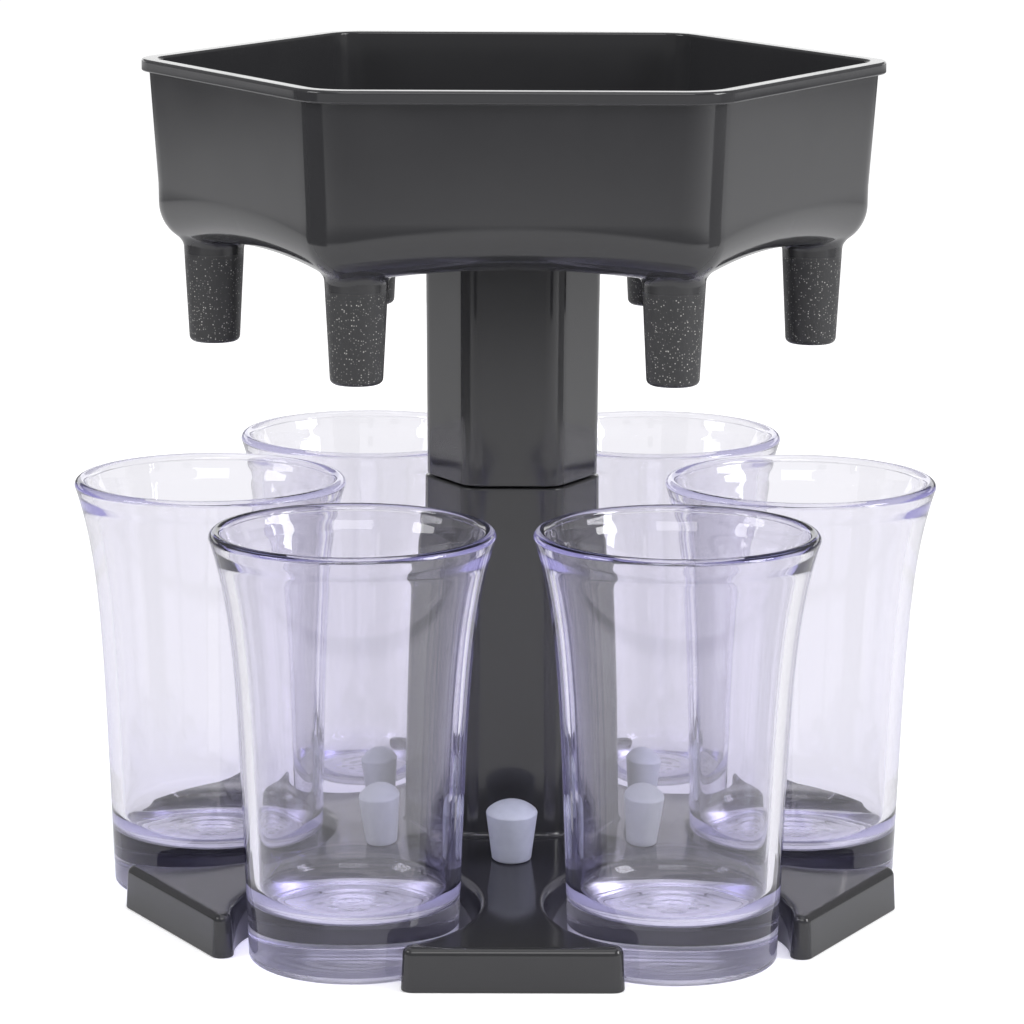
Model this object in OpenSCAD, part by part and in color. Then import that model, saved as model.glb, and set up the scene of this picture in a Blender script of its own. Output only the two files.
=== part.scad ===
// Party shot dispenser: a hexagonal tray on a column fills six cups through six nozzles.
// Millimetres, +Z up, origin on the table at the column's axis, front towards -Y.

/* [Tray] */
// Width of the rim across its flats
rim_af = 114.8; // [110:0.2:120]
// Height of the rim above the table
rim_z = 147.6; // [142:0.2:156]
// Height of the lip along the rim
lip_h = 2.1; // [1.4:0.1:3]
// Reach of the lip beyond the wall
lip_out = 1.2; // [0.8:0.05:1.8]
// Height of the tray from the nozzles' roots to the rim
tray_h = 32.4; // [29:0.2:37]
// Wall thickness of the tray
tray_wall = 1.8; // [1.4:0.1:2.2]
// Lean of the tray's walls in degrees
tray_draft = 3.4; // [2:0.1:4.5]
// Radius of the tray's upright corners
tray_corner_r = 9; // [8:0.25:10]
// Radius of the corners of the tray's floor
tray_floor_r = 1; // [0.5:0.25:2]
// Radius where the walls turn into the floor
tray_fillet = 8; // [6.5:0.25:9]
// Rise of the floor from the nozzles to the middle
arch_rise = 2.1; // [1:0.1:3]

/* [Nozzles] */
// Radius of the circle on which the nozzles stand
nozzle_ring_r = 52.4; // [51:0.1:53]
// Length of a nozzle below the floor
nozzle_h = 17.2; // [14:0.2:19]
// Outer radius of a nozzle at its root
nozzle_root_r = 5.3; // [5:0.05:5.6]
// Outer radius of a nozzle at its tip
nozzle_tip_r = 4.4; // [4.1:0.05:4.7]
// Radius of the straight outlet bore
outlet_r = 3; // [2.6:0.05:3.3]
// Length of the straight outlet bore
outlet_h = 9; // [7:0.5:11]
// Radius of the tapered inlet where it leaves the floor
inlet_r = 4; // [3.6:0.05:4.3]

/* [Column] */
// Height of the joint between the upper and the lower column
joint_z = 74.2; // [66:0.2:84]
// Width of the upper column across its flats
stem_af = 27.3; // [26:0.1:27.5]
// Width of the lower column across its flats
column_af = 28.1; // [27.6:0.1:29]
// Radius of the column's upright corners
column_corner_r = 4.5; // [3.5:0.1:5]
// Wall thickness of both columns
column_wall = 2.2; // [1.8:0.1:2.6]
// Length of the spigot that plugs into the lower column
spigot_h = 14; // [8:0.5:20]
// Wall thickness of the spigot
spigot_wall = 1.8; // [1.4:0.1:2.4]
// Clearance of the spigot on each side
spigot_gap = 0.3; // [0.2:0.05:0.4]
// Width of the joint line
joint_gap = 0.25; // [0.15:0.05:0.4]

/* [Foot] */
// Width of the foot across the ends of two opposite arms
foot_af = 136.6; // [132:0.2:142]
// Height of the foot's top where it meets the column
foot_inner_h = 11.7; // [10.5:0.1:13]
// Height of an arm's top at its outer end
foot_outer_h = 7.4; // [6.5:0.1:8.5]
// Radius of the notches that take the cups
notch_r = 20.6; // [20.4:0.1:21.2]
// Radius at the tips of the arms
tip_r = 2; // [1.8:0.1:2.5]
// Radius of the hollow under an arm at its corners
hollow_r = 0.6; // [0.4:0.1:1.2]
// Wall thickness of the foot
foot_wall = 2.2; // [1.8:0.1:2.6]
// Thickness of the ribs under the foot
rib_w = 1.6; // [1.2:0.1:2]

/* [Cups] */
// Radius of the circle on which the cups stand
cup_ring_r = 53.2; // [52.8:0.1:53.6]
// How far each cup stands outward of its notch's centre, from the right one counterclockwise
cup_push = [-2.1, 0, -0.3, 0.2, 0.6, 1.2]; // [-2.2:0.1:2.2]
// Height of a cup
cup_h = 73.6; // [68:0.2:80]
// Radius of a cup's outside at the table
cup_foot_r = 17.7; // [17.2:0.1:18]
// Growth of the radius per millimetre of height
cup_taper = 0.038; // [0.03:0.002:0.045]
// Extra radius at the rim from the flare
cup_flare = 3.9; // [3:0.1:4.4]
// Steepness of the flare
cup_flare_power = 6; // [4:1:8]
// Wall thickness of a cup
cup_wall = 2.3; // [1.8:0.1:2.6]
// Thickness of a cup's solid base
cup_base_h = 9.3; // [7:0.1:11]
// Radius between a cup's wall and its inner floor
cup_floor_r = 4.5; // [3:0.25:6]
// Depth of the recess under a cup
cup_recess_h = 0.6; // [0.3:0.1:1]
// Width of the ring on which a cup stands
cup_stand_w = 3; // [2:0.25:4]

/* [Stoppers] */
// Distance of a stopper's foot from the column's axis
stopper_ring_r = 25.1; // [23:0.1:27]
// Height of a stopper
stopper_h = 10.6; // [9:0.1:12]
// Radius of a stopper's narrow end
stopper_foot_r = 3.4; // [3.1:0.05:3.7]
// Radius of a stopper at its widest
stopper_top_r = 4.5; // [4.2:0.05:4.8]
// Height of a stopper's domed top
stopper_dome_h = 2; // [1.2:0.1:2.6]
// Clearance between a stopper and the arm it stands on
stopper_gap = 0.1; // [0.05:0.05:0.3]

/* [Hidden] */
$fn = 96;

charcoal = "#4b4b4d";
charcoal_matte = "#3f4042";
clear_violet = [0.86, 0.84, 0.96, 0.45];
milky = "#d9dde2";

sides = 6;
step = 360 / sides;
// Faces of the hexagons, and so the arms, point 30 degrees off the corners
face_turn = step / 2;
eps = 0.01;

root_z = rim_z - tray_h;
wall_top_a = rim_af / 2 - lip_out;
arch_top_z = root_z + arch_rise;
nozzle_tip_z = root_z - nozzle_h;

// Distance from the axis to the flats of the foot, the columns and their insides
foot_a = foot_af / 2;
column_a = column_af / 2;
stem_a = stem_af / 2;
socket_a = column_a - column_wall;
spigot_a = socket_a - spigot_gap;
foot_slope = atan((foot_inner_h - foot_outer_h) / (foot_a - column_a));
// A notch's centre, seen along the arm
notch_x = cup_ring_r * sin(face_turn);
notch_y = cup_ring_r * cos(face_turn);
// An arm's flank follows the notch through this angle at most, and a longer arm's runs straight on
longest_wrap = 65;

cup_steps = 24;
corner_steps = 4;
flat_steps = 8;
floor_steps = 5;
fillet_turn = 22.5;
tip_steps = 10;
bead_r = cup_wall / 2;

// Height of an arm's top at a distance from the column's axis
function arm_top_z(d) = foot_inner_h - (d - column_a) * tan(foot_slope);
// Outside radius of a cup at a height
function cup_r(z) = cup_foot_r + cup_taper * z + cup_flare * pow(z / cup_h, cup_flare_power);

// Flat hexagon with rounded corners, a corner on the X axis
module rounded_hex(a, r) {
    corner_d = (a - r) / cos(face_turn);
    for (i = [0 : sides - 1])
        rotate(i * step) translate([corner_d, 0]) circle(r);
    polygon([for (i = [0 : sides - 1], s = [-1, 1])
        let (turn = i * step + s * face_turn)
        [corner_d * cos(i * step) + r * cos(turn), corner_d * sin(i * step) + r * sin(turn)]]);
}

// Places its children at one of the six corners, at a distance from the axis
module at_corner(i, d) {
    rotate((i - 1) * step) translate([d, 0, 0]) children();
}

// Depth by which the floor arches down at a point: nothing along the middle of a side, and with
// the square of the distance from there all of the rise at a nozzle
function floor_drop(x, y) =
    arch_rise * pow(min([for (i = [0 : sides - 1])
        let (turn = face_turn + i * step) abs(x * sin(turn) - y * cos(turn))]) / (nozzle_ring_r / 2), 2);

// Point of a rounded hexagon: distance of its flats, corner radius, corner and step round the corner
function hex_point(a, r, i, k) =
    let (turn = i * step - face_turn + step * k / corner_steps, d = (a - r) / cos(face_turn))
    [d * cos(i * step) + r * cos(turn), d * sin(i * step) + r * sin(turn)];

// Ring of points round the bowl at a height, lowered with the floor by a share
function bowl_ring(a, r, z, share) = [
    for (i = [0 : sides - 1], k = [0 : corner_steps + flat_steps - 1])
        let (along = max(0, k - corner_steps) / flat_steps,
             p = hex_point(a, r, i, min(k, corner_steps)) * (1 - along) + hex_point(a, r, i + 1, 0) * along)
        [p.x, p.y, z - share * floor_drop(p.x, p.y)]
];

// Rings of a floor and its fillet from the middle to the wall: distance and corner radius of the
// wall at the rim, radius of the fillet, height of the floor's middle
function floor_rings(a_top, corner, fillet, z0) =
    let (a_wall = a_top - (rim_z - z0 - fillet) * tan(tray_draft), a_floor = a_wall - fillet)
    concat(
        [for (k = [1 : floor_steps - 1])
            let (a = stem_a + (a_floor - stem_a) * (k - 1) / (floor_steps - 1))
            bowl_ring(a, tray_floor_r, z0, min(k - 1, 1))],
        [for (turn = [0 : fillet_turn : 90])
            bowl_ring(a_wall - fillet * (1 - sin(turn)),
                tray_floor_r + (corner - tray_floor_r) * sin(turn), z0 + fillet * (1 - cos(turn)), 1)]
    );

// Closed solid through a chain of rings round the Z axis that have the same number of points
module loft(rings) {
    n = len(rings[0]);
    last = len(rings) - 1;
    ends = [[0, 0, rings[0][0].z], [0, 0, rings[last][0].z]];
    polyhedron(
        points = concat([for (ring = rings, p = ring) p], ends),
        faces = concat(
            [for (k = [0 : n - 1]) [(last + 1) * n, k, (k + 1) % n]],
            [for (k = [0 : n - 1]) [(last + 1) * n + 1, last * n + (k + 1) % n, last * n + k]],
            [for (j = [0 : last - 1], k = [0 : n - 1], half = [0, 1])
                let (p = j * n + k, q = j * n + (k + 1) % n)
                half == 0 ? [p, p + n, q + n] : [p, q + n, q]]
        )
    );
}

// The bowl's shell: under the floor, up the wall, over the lip and down the inside
module bowl_shell() {
    inner_a = wall_top_a - tray_wall;
    inner_corner = tray_corner_r - tray_wall;
    lip_corner = tray_corner_r + lip_out;
    under = floor_rings(wall_top_a, tray_corner_r, tray_fillet, arch_top_z);
    inside = floor_rings(inner_a, inner_corner, tray_fillet - tray_wall, arch_top_z + tray_wall);
    loft(concat(
        under,
        [bowl_ring(wall_top_a - lip_h * tan(tray_draft), tray_corner_r, rim_z - lip_h, 0),
         bowl_ring(rim_af / 2, lip_corner, rim_z - lip_h, 0),
         bowl_ring(rim_af / 2, lip_corner, rim_z, 0),
         bowl_ring(inner_a, inner_corner, rim_z, 0)],
        [for (j = [len(inside) - 1 : -1 : 0]) inside[j]]
    ));
}

// The holes are turned one step, so that their seams lie off the edge along the corner's middle
module tray_bowl() {
    color(charcoal) difference() {
        bowl_shell();
        for (i = [1 : sides])
            at_corner(i, nozzle_ring_r) translate([0, 0, root_z - tray_wall]) rotate(step)
                cylinder(r = nozzle_root_r, h = 3 * tray_wall + arch_rise);
    }
}

// A nozzle ends level with the floor inside the tray, where the drink runs in
module tray_nozzle(i) {
    top_h = arch_top_z + tray_wall - floor_drop(nozzle_ring_r - nozzle_root_r, 0) - nozzle_tip_z;
    color(charcoal_matte) at_corner(i, nozzle_ring_r) translate([0, 0, nozzle_tip_z])
        rotate_extrude() polygon([
            [outlet_r, 0], [nozzle_tip_r, 0], [nozzle_root_r, nozzle_h],
            [nozzle_root_r, top_h], [inlet_r, top_h], [outlet_r, outlet_h]
        ]);
}

module tray_stem() {
    spigot_z = joint_z + joint_gap - spigot_h;
    color(charcoal) difference() {
        union() {
            translate([0, 0, joint_z + joint_gap])
                linear_extrude(arch_top_z - joint_z - joint_gap) rounded_hex(stem_a, column_corner_r);
            translate([0, 0, spigot_z])
                linear_extrude(spigot_h + eps) rounded_hex(spigot_a, column_corner_r - column_wall);
        }
        translate([0, 0, spigot_z - eps])
            linear_extrude(arch_top_z - spigot_z + 2 * eps)
                rounded_hex(spigot_a - spigot_wall, column_corner_r - column_wall);
    }
}

module base_column() {
    color(charcoal) translate([0, 0, foot_inner_h]) difference() {
        linear_extrude(joint_z - foot_inner_h) rounded_hex(column_a, column_corner_r);
        translate([0, 0, -eps])
            linear_extrude(joint_z) rounded_hex(socket_a, column_corner_r - column_wall);
    }
}

// Plan of the six arms: distance of their ends, radius of the notches, radius at the tips
module foot_plan(end_y, notch, corner) {
    tip_y = end_y - corner;
    wrap = asin(min(sin(longest_wrap), (tip_y - notch_y) / (notch + corner)));
    run = (tip_y - notch_y - (notch + corner) * sin(wrap)) / cos(wrap);
    leave = [notch_x - notch * cos(wrap), notch_y + notch * sin(wrap)];
    tip_x = leave.x + run * sin(wrap) - corner * cos(wrap);
    // A tip's rounding, from just past the notch to the arm's end
    tip = [for (k = [run > eps ? 0 : 1 : tip_steps])
        let (turn = (wrap + 90) * k / tip_steps - wrap)
        [tip_x + corner * cos(turn), tip_y + corner * sin(turn)]];
    half_arm = concat([[notch_x, notch_y]], run > eps ? [leave] : [], tip);
    difference() {
        polygon([
            for (i = [0 : sides - 1], k = [0 : 2 * len(half_arm) - 2])
                let (turn = face_turn - 90 + i * step,
                     right = k < len(half_arm),
                     p = right ? half_arm[k] : half_arm[2 * len(half_arm) - 1 - k],
                     x = right ? p.x : -p.x)
                [x * cos(turn) - p.y * sin(turn), x * sin(turn) + p.y * cos(turn)]
        ]);
        for (i = [0 : sides - 1])
            rotate(i * step) translate([cup_ring_r, 0]) circle(notch);
    }
}

// Everything above the arms' sloping tops, lowered by a depth
module above_arms(drop) {
    for (i = [0 : sides - 1])
        rotate(face_turn + i * step - 90)
            translate([0, column_a, foot_inner_h - drop]) rotate([-foot_slope, 0, 0])
                translate([-foot_af, -foot_af, 0]) cube([2 * foot_af, 2 * foot_af, foot_inner_h]);
}

// Ribs under the foot: along each arm, across it near its end, and from the column to each notch
module foot_ribs() {
    cross_y = notch_y + notch_r / 2;
    start = column_a - column_wall;
    for (i = [0 : sides - 1]) {
        rotate(face_turn + i * step - 90) {
            translate([-rib_w / 2, start, 0]) cube([rib_w, foot_a - start, foot_inner_h]);
            translate([-foot_a / 2, cross_y, 0]) cube([foot_a, rib_w, foot_inner_h]);
        }
        rotate(i * step - 90)
            translate([-rib_w / 2, start, 0]) cube([rib_w, cup_ring_r - notch_r - start, foot_inner_h]);
    }
}

module base_foot() {
    color(charcoal) difference() {
        linear_extrude(foot_inner_h) foot_plan(foot_a, notch_r, tip_r);
        above_arms(0);
        difference() {
            translate([0, 0, -eps]) linear_extrude(foot_inner_h)
                foot_plan(foot_a - foot_wall, notch_r + foot_wall, hollow_r);
            above_arms(foot_wall);
            foot_ribs();
            linear_extrude(foot_inner_h) rounded_hex(column_a, column_corner_r);
        }
        translate([0, 0, -eps])
            linear_extrude(2 * foot_inner_h) rounded_hex(socket_a, column_corner_r - column_wall);
    }
}

module cup(i) {
    inner_h = cup_h - bead_r;
    floor_edge_r = cup_r(cup_base_h) - cup_wall - cup_floor_r;
    outside = [for (k = [0 : cup_steps]) let (z = inner_h * k / cup_steps) [cup_r(z), z]];
    bead = [for (turn = [15 : 15 : 165])
        [cup_r(inner_h) - bead_r + bead_r * cos(turn), inner_h + bead_r * sin(turn)]];
    wall_z = cup_base_h + cup_floor_r;
    inside = [for (k = [cup_steps : -1 : 0])
        let (z = wall_z + (inner_h - wall_z) * k / cup_steps) [cup_r(z) - cup_wall, z]];
    corner = [for (turn = [15 : 15 : 90])
        [floor_edge_r + cup_floor_r * cos(turn), wall_z - cup_floor_r * sin(turn)]];
    stand_r = cup_foot_r - cup_stand_w;
    color(clear_violet) at_corner(i, cup_ring_r + cup_push[i - 1])
        rotate_extrude() polygon(concat(
            outside, bead, inside, corner,
            [[0, cup_base_h], [0, cup_recess_h], [stand_r - cup_recess_h, cup_recess_h], [stand_r, 0]]
        ));
}

module stopper(i) {
    dome_r = (stopper_top_r * stopper_top_r + stopper_dome_h * stopper_dome_h) / (2 * stopper_dome_h);
    body_h = stopper_h - stopper_dome_h;
    dome_turn = asin(stopper_top_r / dome_r);
    dome = [for (k = [6 : -1 : 0])
        let (turn = dome_turn * k / 6)
        [dome_r * sin(turn), stopper_h - dome_r * (1 - cos(turn))]];
    color(milky) rotate(face_turn + (i - 1) * step - 90)
        translate([0, stopper_ring_r, arm_top_z(stopper_ring_r) + stopper_gap / cos(foot_slope)])
            rotate([-foot_slope, 0, 0])
                rotate_extrude() polygon(concat([[0, 0], [stopper_foot_r, 0]], dome));
}

tray_bowl();
tray_stem();
tray_nozzle(1);  // tray_nozzle_1
tray_nozzle(2);  // tray_nozzle_2
tray_nozzle(3);  // tray_nozzle_3
tray_nozzle(4);  // tray_nozzle_4
tray_nozzle(5);  // tray_nozzle_5
tray_nozzle(6);  // tray_nozzle_6
base_column();
base_foot();
cup(1);  // cup_1
cup(2);  // cup_2
cup(3);  // cup_3
cup(4);  // cup_4
cup(5);  // cup_5
cup(6);  // cup_6
stopper(1);  // stopper_1
stopper(2);  // stopper_2
stopper(3);  // stopper_3
stopper(4);  // stopper_4
stopper(5);  // stopper_5
stopper(6);  // stopper_6
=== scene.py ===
"""Looks of the party shot dispenser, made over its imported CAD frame.

Shapes are worked out in millimetres and turned to metres where a mesh is made. The frame's
axes hold throughout: origin on the table at the column's axis, +Z up, the front towards -Y.
Corners of the hexagons, nozzles and cups lie at 0, 60 ... 300 degrees; arms and stoppers lie
halfway between them.
"""

import logging
import math
from dataclasses import dataclass
from enum import Enum
from typing import Any

import bmesh
import bpy
import numpy as np
from mathutils import Euler, Matrix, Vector
from numpy.typing import NDArray

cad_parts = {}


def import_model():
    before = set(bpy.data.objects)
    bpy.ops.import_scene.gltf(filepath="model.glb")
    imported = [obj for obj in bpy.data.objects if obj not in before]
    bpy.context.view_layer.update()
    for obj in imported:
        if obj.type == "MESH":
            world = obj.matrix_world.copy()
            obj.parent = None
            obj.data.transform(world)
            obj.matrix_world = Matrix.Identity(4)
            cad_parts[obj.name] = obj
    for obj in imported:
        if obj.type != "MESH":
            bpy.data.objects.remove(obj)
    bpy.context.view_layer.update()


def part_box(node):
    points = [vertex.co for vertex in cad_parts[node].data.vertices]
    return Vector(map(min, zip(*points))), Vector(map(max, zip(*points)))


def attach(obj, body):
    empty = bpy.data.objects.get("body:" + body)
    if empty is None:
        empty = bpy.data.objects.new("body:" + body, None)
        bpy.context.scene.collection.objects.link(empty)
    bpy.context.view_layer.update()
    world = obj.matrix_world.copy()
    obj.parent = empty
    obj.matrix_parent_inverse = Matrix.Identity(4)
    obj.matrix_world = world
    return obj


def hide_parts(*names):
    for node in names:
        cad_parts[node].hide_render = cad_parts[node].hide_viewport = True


LOG = logging.getLogger("dispenser")

MM = 0.001
SIDES = 6
STEP = math.tau / SIDES
HALF = STEP / 2
COS_HALF = math.cos(HALF)
SIN_HALF = math.sin(HALF)
TAN_HALF = math.tan(HALF)

# Steps along a small round, the least difference that counts, and what keeps an arc shorter than its leg.
ROUND_STEPS = 6
TINY = 1e-6
SLACK = 0.01

Array = NDArray[np.float64]
Colour = tuple[float, float, float, float]
Tree = bpy.types.NodeTree
Socket = bpy.types.NodeSocket


class Body(str, Enum):
    """The two bodies that hold more than one piece."""

    TRAY = "tray"
    BASE = "base"


class Slot(str, Enum):
    """The record's material slots."""

    GLOSS = "charcoal_gloss"
    TEXTURE = "nozzle_texture"
    CLEAR = "clear_cup"
    SILICONE = "milky_silicone"


# ---------------------------------------------------------------- helpers for shapes


def rounded(points: list[tuple[float, float]], radii: list[float], steps: int = 5) -> Array:
    """Rounds the corners of a flat polyline with arcs.

    Each arc touches both legs of its corner: it starts radius / tan(half the corner's angle)
    away, and its points are blended between the two radii that end on the legs.

    Args:
        points: The polyline's points.
        radii: Radius at each point; 0 keeps the point sharp.
        steps: Steps along each arc.

    Returns:
        The points of the rounded line, one row each.
    """
    line = np.array(points, float)
    made = [line[:1]]
    for before, here, after, radius in zip(line[:-2], line[1:-1], line[2:], radii[1:-1]):
        back, ahead = before - here, after - here
        back, ahead = back / np.linalg.norm(back), ahead / np.linalg.norm(ahead)
        angle = math.acos(float(np.clip(back @ ahead, -1, 1)))
        if radius == 0 or abs(math.pi - angle) < TINY:
            made.append(here[None])
            continue
        centre = here + (back + ahead) / np.linalg.norm(back + ahead) * radius / math.sin(angle / 2)
        leg = radius / math.tan(angle / 2)
        first, last = here + back * leg - centre, here + ahead * leg - centre
        share = np.linspace(0, 1, steps + 1)[:, None]
        turn = math.pi - angle
        arc = (first * np.sin((1 - share) * turn) + last * np.sin(share * turn)) / math.sin(turn)
        made.append(centre + arc)
    made.append(line[-1:])
    return np.concatenate(made)


def with_height(plan: Array, height: Array | float) -> Array:
    """Adds a height to an array of flat points."""
    return np.concatenate([plan, np.broadcast_to(height, plan.shape[:-1])[..., None]], axis=-1)


def metres(values: tuple[float, ...]) -> tuple[float, ...]:
    """Turns millimetres into metres."""
    return tuple(value * MM for value in values)


def arc_points(centre: Array | tuple[float, float], radius: float, turns: Array) -> Array:
    """Points of an arc: its centre plus the radius times each angle's cosine and sine."""
    return np.asarray(centre) + radius * np.stack([np.cos(turns), np.sin(turns)], axis=-1)


def turned(points: Array, angle: float) -> Array:
    """Turns points about the Z axis: x and y change by the angle's cosine and sine.

    Args:
        points: Points with three values in their last axis.
        angle: The angle in radians.

    Returns:
        The turned points.
    """
    cosine, sine = math.cos(angle), math.sin(angle)
    spin = np.array([[cosine, sine, 0], [-sine, cosine, 0], [0, 0, 1]])
    return points @ spin


def hex_sector(apothem: Array | float, corner: Array | float, flat: int, arc: int) -> Array:
    """One sixth of a rounded hexagon, from the middle of a flat round the corner on +X to the next.

    The corner is an arc of its radius about a point (apothem - radius) / cos 30 from the
    axis, between the two normals of its flats; a flat's half runs straight up to it.

    Args:
        apothem: Distance of the flats from the axis, one value or one for each ring.
        corner: Radius of the corners, likewise.
        flat: Steps along half a flat.
        arc: Steps round the corner.

    Returns:
        Flat points, rings by points by two.
    """
    apothem, corner = np.broadcast_arrays(np.asarray(apothem, float), np.asarray(corner, float))
    apothem, corner = apothem[..., None], corner[..., None]
    turns = np.linspace(-HALF, HALF, arc + 1)
    centre = (apothem - corner) / COS_HALF
    bend = np.stack([centre + corner * np.cos(turns), corner * np.sin(turns)], axis=-1)
    middle = np.stack([apothem * COS_HALF, -apothem * SIN_HALF], axis=-1)
    share = np.linspace(0, 1, flat + 1)[:-1, None]
    before = middle + (bend[..., :1, :] - middle) * share
    after = before[..., ::-1, :] * np.array([1, -1])
    return np.concatenate([before, bend, after], axis=-2)


class Surface:
    """Gathers grids of points, in millimetres, into one closed mesh."""

    def __init__(self) -> None:
        """Starts empty."""
        self._points: list[Array] = []
        self._faces: list[NDArray[np.int64]] = []
        self._count = 0

    def grid(self, points: Array, closed_rows: bool = False, closed_columns: bool = False) -> None:
        """Adds one quad between each four neighbours of a grid.

        Args:
            points: Rows by columns by three.
            closed_rows: Whether the last row joins the first.
            closed_columns: Whether the last column joins the first.
        """
        rows, columns = points.shape[:2]
        index = self._count + np.arange(rows * columns).reshape(rows, columns)
        if closed_rows:
            index = np.vstack([index, index[:1]])
        if closed_columns:
            index = np.hstack([index, index[:, :1]])
        corners = [index[:-1, :-1], index[:-1, 1:], index[1:, 1:], index[1:, :-1]]
        self._points.append(points.reshape(-1, 3))
        self._faces.append(np.stack(corners, axis=-1).reshape(-1, 4))
        self._count += rows * columns

    def around(self, points: Array, closed_rows: bool = False, closed_columns: bool = False) -> None:
        """Adds a grid once in each of the six sectors."""
        for i in range(SIDES):
            self.grid(turned(points, i * STEP), closed_rows, closed_columns)

    def revolve(self, profile: Array, segments: int, centre: tuple[float, float] = (0, 0)) -> None:
        """Adds a profile turned round an upright axis: each point (r, z) becomes a circle.

        Args:
            profile: Radius and height of each point; a radius of 0 closes the form.
            segments: Points on each circle.
            centre: Place of the axis.
        """
        turns = np.arange(segments) * math.tau / segments
        radius, height = profile[:, :1], profile[:, 1:]
        flat = [centre[0] + radius * np.cos(turns), centre[1] + radius * np.sin(turns)]
        self.grid(np.stack([*flat, height + 0 * turns], axis=-1), closed_columns=True)

    def hex_tube(self, loop: Array, corner: Array, flat: int = 6, arc: int = 8) -> None:
        """Adds a hexagonal tube: each point (apothem, z) of a closed loop becomes a rounded hexagon."""
        rings = hex_sector(loop[:, 0], corner, flat, arc)
        self.around(with_height(rings, loop[:, 1:]), closed_rows=True)

    def bar(self, start: tuple[float, float], end: tuple[float, float], half_width: float,
            top: tuple[float, float], turn: float) -> None:
        """Adds an upright strip on the table, such as a rib.

        Args:
            start: Place of one end's middle.
            end: Place of the other end's middle.
            half_width: Half of the strip's thickness.
            top: Heights at both ends.
            turn: Angle by which the strip is turned about the Z axis.
        """
        ends = np.array([start, end], float)
        along = (ends[1] - ends[0]) / np.linalg.norm(ends[1] - ends[0])
        side = np.array([-along[1], along[0]]) * half_width
        plan = np.stack([ends - side, ends + side, ends + side, ends - side], axis=1)
        height = np.array([[0, 0, z, z] for z in top])
        ring = turned(with_height(plan, height), turn)
        self.grid(ring, closed_columns=True)
        for cap in ring:
            self.grid(cap[[0, 1, 3, 2]].reshape(2, 2, 3))

    def make(self, name: str, sharp: float = 38.0) -> bpy.types.Object:
        """Joins the grids where they meet and makes the object.

        Args:
            name: Name of the piece.
            sharp: Angle in degrees above which an edge stays sharp.

        Returns:
            The object at the origin, with its place in its mesh.
        """
        mesh = bpy.data.meshes.new(name)
        points = np.concatenate(self._points) * MM
        mesh.from_pydata(points.tolist(), [], np.concatenate(self._faces).tolist())
        work = bmesh.new()
        work.from_mesh(mesh)
        bmesh.ops.remove_doubles(work, verts=work.verts, dist=0.001 * MM)
        bmesh.ops.recalc_face_normals(work, faces=work.faces)
        loose = sum(not edge.is_manifold for edge in work.edges)
        work.to_mesh(mesh)
        work.free()
        mesh.polygons.foreach_set("use_smooth", np.ones(len(mesh.polygons), bool))
        mesh.set_sharp_from_angle(angle=math.radians(sharp))
        made = bpy.data.objects.new(name, mesh)
        bpy.context.scene.collection.objects.link(made)
        even = made.modifiers.new("even_shading", "WEIGHTED_NORMAL")
        even.keep_sharp = True
        LOG.info("%s: %d faces, %d open edges", name, len(mesh.polygons), loose)
        return made


def dress(piece: bpy.types.Object, body: str, slot: Slot, finish: bpy.types.Material, *nodes: str) -> None:
    """Fits a piece into the frame.

    Args:
        piece: The finished piece.
        body: The body that it rides on.
        slot: Its material slot; not used.
        finish: Its finish.
        nodes: The CAD nodes that it stands for.
    """
    piece.data.materials.append(finish)
    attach(piece, str(body.value if isinstance(body, Body) else body))
    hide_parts(*nodes)
    LOG.info("%s rides on %s and stands for %s", piece.name, body, ", ".join(nodes))


# ---------------------------------------------------------------- helpers for finishes


def linear(code: str) -> Colour:
    """Turns an sRGB colour into light: a straight foot, then a power of 2.4, as sRGB says.

    Args:
        code: The colour as #rrggbb.

    Returns:
        Linear red, green and blue, and an alpha of 1.
    """
    values = np.array([int(code[i : i + 2], 16) for i in (1, 3, 5)]) / 255
    light = np.where(values <= 0.04045, values / 12.92, ((values + 0.055) / 1.055) ** 2.4)
    return (*light.tolist(), 1.0)


def per_size(size_mm: float) -> float:
    """Texture scale at which one feature is as large as a size in millimetres."""
    return 1 / (size_mm * MM)


def add_node(tree: Tree, kind: str, settings: dict[str, Any] | None = None,
             inputs: dict[str | int, Any] | None = None) -> bpy.types.Node:
    """Adds a node with its settings, values and links.

    Args:
        tree: Node tree of a material, light or world.
        kind: Node type.
        settings: Attributes of the node.
        inputs: Value of each input, or the output that is linked to it.

    Returns:
        The node.
    """
    node = tree.nodes.new(kind)
    for name, value in (settings or {}).items():
        setattr(node, name, value)
    for name, value in (inputs or {}).items():
        if isinstance(value, Socket):
            tree.links.new(value, node.inputs[name])
        else:
            node.inputs[name].default_value = value
    return node


def noise(tree: Tree, place: Socket, size_mm: float, detail: float) -> Socket:
    """Noise from 0 to 1 whose features are as large as a size in millimetres."""
    return add_node(tree, "ShaderNodeTexNoise", inputs={
        "Vector": place, "Scale": per_size(size_mm), "Detail": detail}).outputs["Fac"]


def relief(tree: Tree, height: Socket, depth_mm: float, strength: Socket | float = 1.0) -> Socket:
    """The normal of a relief, from its height as a share of a depth in millimetres."""
    return add_node(tree, "ShaderNodeBump", inputs={
        "Height": height, "Distance": depth_mm * MM, "Strength": strength}).outputs["Normal"]


def ramp(tree: Tree, value: Socket, ends: tuple[float, float], results: tuple[float, float],
         curve: str = "LINEAR") -> Socket:
    """Runs from one result to the other while a value goes between two ends, and stays there."""
    return add_node(tree, "ShaderNodeMapRange", {"interpolation_type": curve}, {
        "Value": value, "From Min": ends[0], "From Max": ends[1],
        "To Min": results[0], "To Max": results[1]}).outputs["Result"]


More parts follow.
